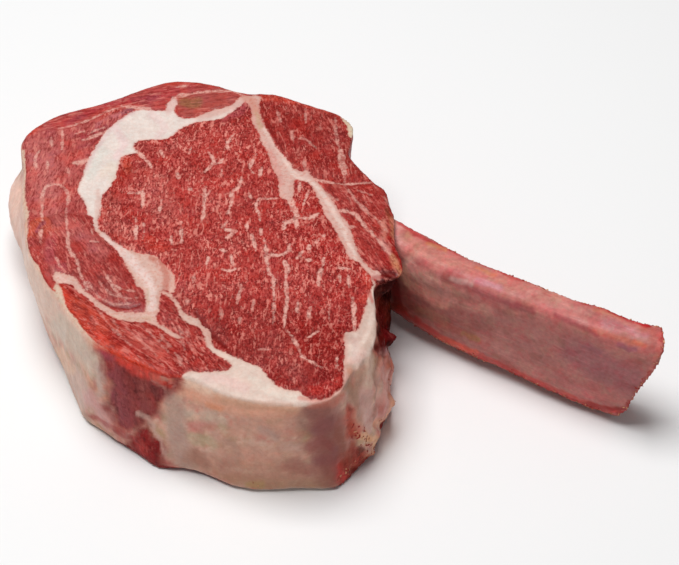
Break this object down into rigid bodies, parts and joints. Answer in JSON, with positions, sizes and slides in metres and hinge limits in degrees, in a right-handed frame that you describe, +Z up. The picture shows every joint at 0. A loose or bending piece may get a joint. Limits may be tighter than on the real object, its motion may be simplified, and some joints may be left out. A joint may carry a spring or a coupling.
{
  "type": "raw cowboy steak",
  "caption": "Thick raw rib steak with marbled lean, seams and a rim of fat, and a long cleaned rib bone standing out of its side.",
  "frame": {"origin": "middle of the bottom of the box round the whole steak, on the plane of the lower cut face", "axes": "+X along the steak's longest extent, from the fat side towards the free end of the bone; +Y away from the front rim of fat; +Z up, square to the cut faces"},
  "size_m": [0.2418, 0.1702, 0.0465],
  "materials": {
    "lean_and_fat": "moist satin; red lean with cream-white fat",
    "bone_membrane": "moist satin; pink-brown membrane over bone"
  },
  "bodies": {
    "root": {"meat": "lean_and_fat", "rib_bone": "bone_membrane"}
  },
  "joints": []
}
